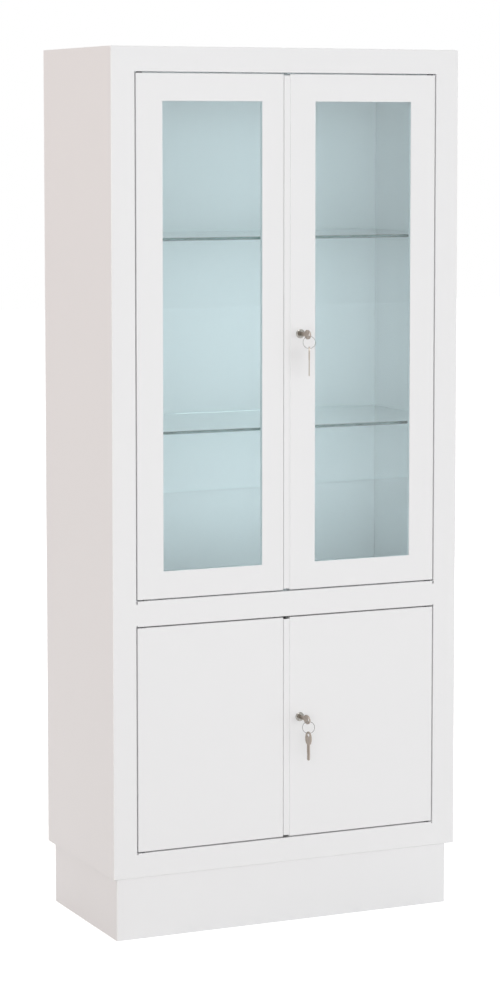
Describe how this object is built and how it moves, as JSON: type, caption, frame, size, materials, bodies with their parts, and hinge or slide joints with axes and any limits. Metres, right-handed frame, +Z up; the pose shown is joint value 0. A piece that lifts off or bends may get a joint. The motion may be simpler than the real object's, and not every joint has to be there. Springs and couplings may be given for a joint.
{
  "type": "glass door medical cabinet",
  "caption": "Tall white steel clinic cabinet with glazed hinged doors over solid hinged doors, glass shelves, cam locks with keys and a recessed plinth.",
  "frame": {"origin": "middle of the base of the whole envelope, hanging keys included, on the floor", "axes": "+X to the right as seen from the front, +Y to the back, +Z up; the door faces look along -Y"},
  "size_m": [0.775, 0.4264, 1.8],
  "materials": {
    "white_paint": "smooth semi-gloss white powder coat",
    "clear_glass": "clear float glass with a green tint at its edges",
    "pale_gasket": "pale grey matt rubber",
    "zinc_steel": "bright zinc plate",
    "nickel": "polished nickel plate",
    "key_metal": "worn nickel plate on stamped blanks"
  },
  "bodies": {
    "cabinet": {"front_frame": "white_paint", "left_side_panel": "white_paint", "right_side_panel": "white_paint", "top_panel": "white_paint", "divider_panel": "white_paint", "bottom_panel": "white_paint", "back_panel": "white_paint", "plinth": "white_paint", "lower_glass_shelf": "clear_glass", "upper_glass_shelf": "clear_glass", "steel_shelf": "white_paint", "steel_shelf_left_rail": "white_paint", "steel_shelf_right_rail": "white_paint", "lower_left_front_shelf_stud": "zinc_steel", "lower_left_rear_shelf_stud": "zinc_steel", "lower_right_front_shelf_stud": "zinc_steel", "lower_right_rear_shelf_stud": "zinc_steel", "upper_left_front_shelf_stud": "zinc_steel", "upper_left_rear_shelf_stud": "zinc_steel", "upper_right_front_shelf_stud": "zinc_steel", "upper_right_rear_shelf_stud": "zinc_steel", "upper_left_top_pivot": "zinc_steel", "upper_left_bottom_pivot": "zinc_steel", "upper_right_top_pivot": "zinc_steel", "upper_right_bottom_pivot": "zinc_steel", "lower_left_top_pivot": "zinc_steel", "lower_left_bottom_pivot": "zinc_steel", "lower_right_top_pivot": "zinc_steel", "lower_right_bottom_pivot": "zinc_steel"},
    "upper_left_door": {"upper_left_door_pan": "white_paint", "upper_left_glass": "clear_glass", "upper_left_glazing_gasket": "pale_gasket", "upper_left_glazing_bead": "white_paint"},
    "upper_right_door": {"upper_right_door_pan": "white_paint", "upper_right_glass": "clear_glass", "upper_right_glazing_gasket": "pale_gasket", "upper_right_glazing_bead": "white_paint", "upper_meeting_strip": "white_paint", "upper_lock_housing": "nickel", "upper_lock_nut": "zinc_steel"},
    "lower_left_door": {"lower_left_door_pan": "white_paint", "lower_left_stiffener": "white_paint"},
    "lower_right_door": {"lower_right_door_pan": "white_paint", "lower_right_stiffener": "white_paint", "lower_meeting_strip": "white_paint", "lower_lock_housing": "nickel", "lower_lock_nut": "zinc_steel"},
    "upper_left_bolt": {"upper_left_bolt": "zinc_steel"},
    "lower_left_bolt": {"lower_left_bolt": "zinc_steel"},
    "upper_lock": {"upper_lock_plug": "nickel", "upper_lock_cam": "zinc_steel"},
    "lower_lock": {"lower_lock_plug": "nickel", "lower_lock_cam": "zinc_steel"},
    "upper_key": {"upper_key": "key_metal"},
    "lower_key": {"lower_key": "key_metal"},
    "upper_key_ring": {"upper_key_ring": "nickel"},
    "lower_key_ring": {"lower_key_ring": "nickel"},
    "upper_spare_key": {"upper_spare_key": "key_metal"},
    "lower_spare_key": {"lower_spare_key": "key_metal"}
  },
  "joints": [
    {"name": "upper_left_hinge", "type": "hinge", "parent": "cabinet", "child": "upper_left_door", "pos_m": [-0.325, -0.15526, 1.222], "axis": [0, 0, -1], "range_deg": [0, 110]},
    {"name": "upper_right_hinge", "type": "hinge", "parent": "cabinet", "child": "upper_right_door", "pos_m": [0.325, -0.15526, 1.222], "axis": [0, 0, 1], "range_deg": [0, 110]},
    {"name": "lower_left_hinge", "type": "hinge", "parent": "cabinet", "child": "lower_left_door", "pos_m": [-0.325, -0.15526, 0.411], "axis": [0, 0, -1], "range_deg": [0, 110]},
    {"name": "lower_right_hinge", "type": "hinge", "parent": "cabinet", "child": "lower_right_door", "pos_m": [0.325, -0.15526, 0.411], "axis": [0, 0, 1], "range_deg": [0, 110]},
    {"name": "upper_bolt_slide", "type": "slide", "parent": "upper_left_door", "child": "upper_left_bolt", "axis": [0, 0, -1], "range_m": [0, 0.012]},
    {"name": "lower_bolt_slide", "type": "slide", "parent": "lower_left_door", "child": "lower_left_bolt", "axis": [0, 0, 1], "range_m": [0, 0.012]},
    {"name": "upper_lock_turn", "type": "hinge", "parent": "upper_right_door", "child": "upper_lock", "pos_m": [0.026, -0.16176, 1.222], "axis": [0, 1, 0], "range_deg": [0, 90]},
    {"name": "lower_lock_turn", "type": "hinge", "parent": "lower_right_door", "child": "lower_lock", "pos_m": [0.026, -0.16176, 0.431], "axis": [0, 1, 0], "range_deg": [0, 90]},
    {"name": "upper_key_slide", "type": "slide", "parent": "upper_lock", "child": "upper_key", "axis": [0, -1, 0], "range_m": [0, 0.016]},
    {"name": "lower_key_slide", "type": "slide", "parent": "lower_lock", "child": "lower_key", "axis": [0, -1, 0], "range_m": [0, 0.016]},
    {"name": "upper_key_ring_swing", "type": "hinge", "parent": "upper_key", "child": "upper_key_ring", "pos_m": [0.026, -0.20376, 1.2192], "axis": [-0.9063, 0.4226, 0], "range_deg": [-15, 45]},
    {"name": "lower_key_ring_swing", "type": "hinge", "parent": "lower_key", "child": "lower_key_ring", "pos_m": [0.026, -0.20376, 0.4282], "axis": [-0.9063, 0.4226, 0], "range_deg": [-15, 45]},
    {"name": "upper_spare_key_swing", "type": "hinge", "parent": "upper_key_ring", "child": "upper_spare_key", "pos_m": [0.026, -0.20376, 1.1942], "axis": [-0.9063, 0.4226, 0], "range_deg": [-15, 45]},
    {"name": "lower_spare_key_swing", "type": "hinge", "parent": "lower_key_ring", "child": "lower_spare_key", "pos_m": [0.026, -0.20376, 0.4032], "axis": [-0.9063, 0.4226, 0], "range_deg": [-15, 45]}
  ]
}
